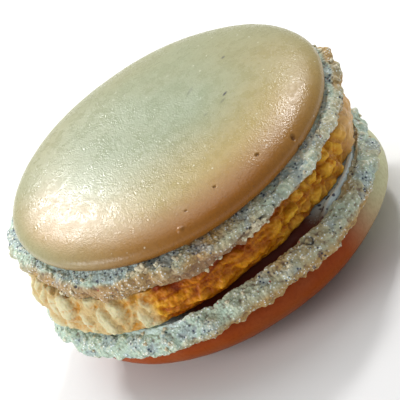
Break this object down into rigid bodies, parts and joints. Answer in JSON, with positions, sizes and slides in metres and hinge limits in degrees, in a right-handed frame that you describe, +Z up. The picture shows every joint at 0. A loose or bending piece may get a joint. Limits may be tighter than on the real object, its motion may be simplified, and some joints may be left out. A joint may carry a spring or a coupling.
{
  "type": "french macaron",
  "caption": "French macaron: smooth domed almond shells with ruffled feet, held together by a lumpy golden buttercream layer.",
  "frame": {"origin": "middle of the small flat spot on the lower shell's crown, which the macaron rests on", "axes": "+Z up through both shells, -Y towards the side where the upper shell leans lowest"},
  "size_m": [0.0492, 0.0498, 0.0261],
  "materials": {
    "lower_shell": "baked almond meringue, dry, browner where it faces down",
    "buttercream": "soft golden buttercream, moist with an uneven low gloss",
    "upper_shell": "baked almond meringue, smooth satin cap over a rough bubbly foot"
  },
  "bodies": {
    "root": {"bottom_shell": "lower_shell", "filling": "buttercream", "top_shell": "upper_shell"}
  },
  "joints": []
}
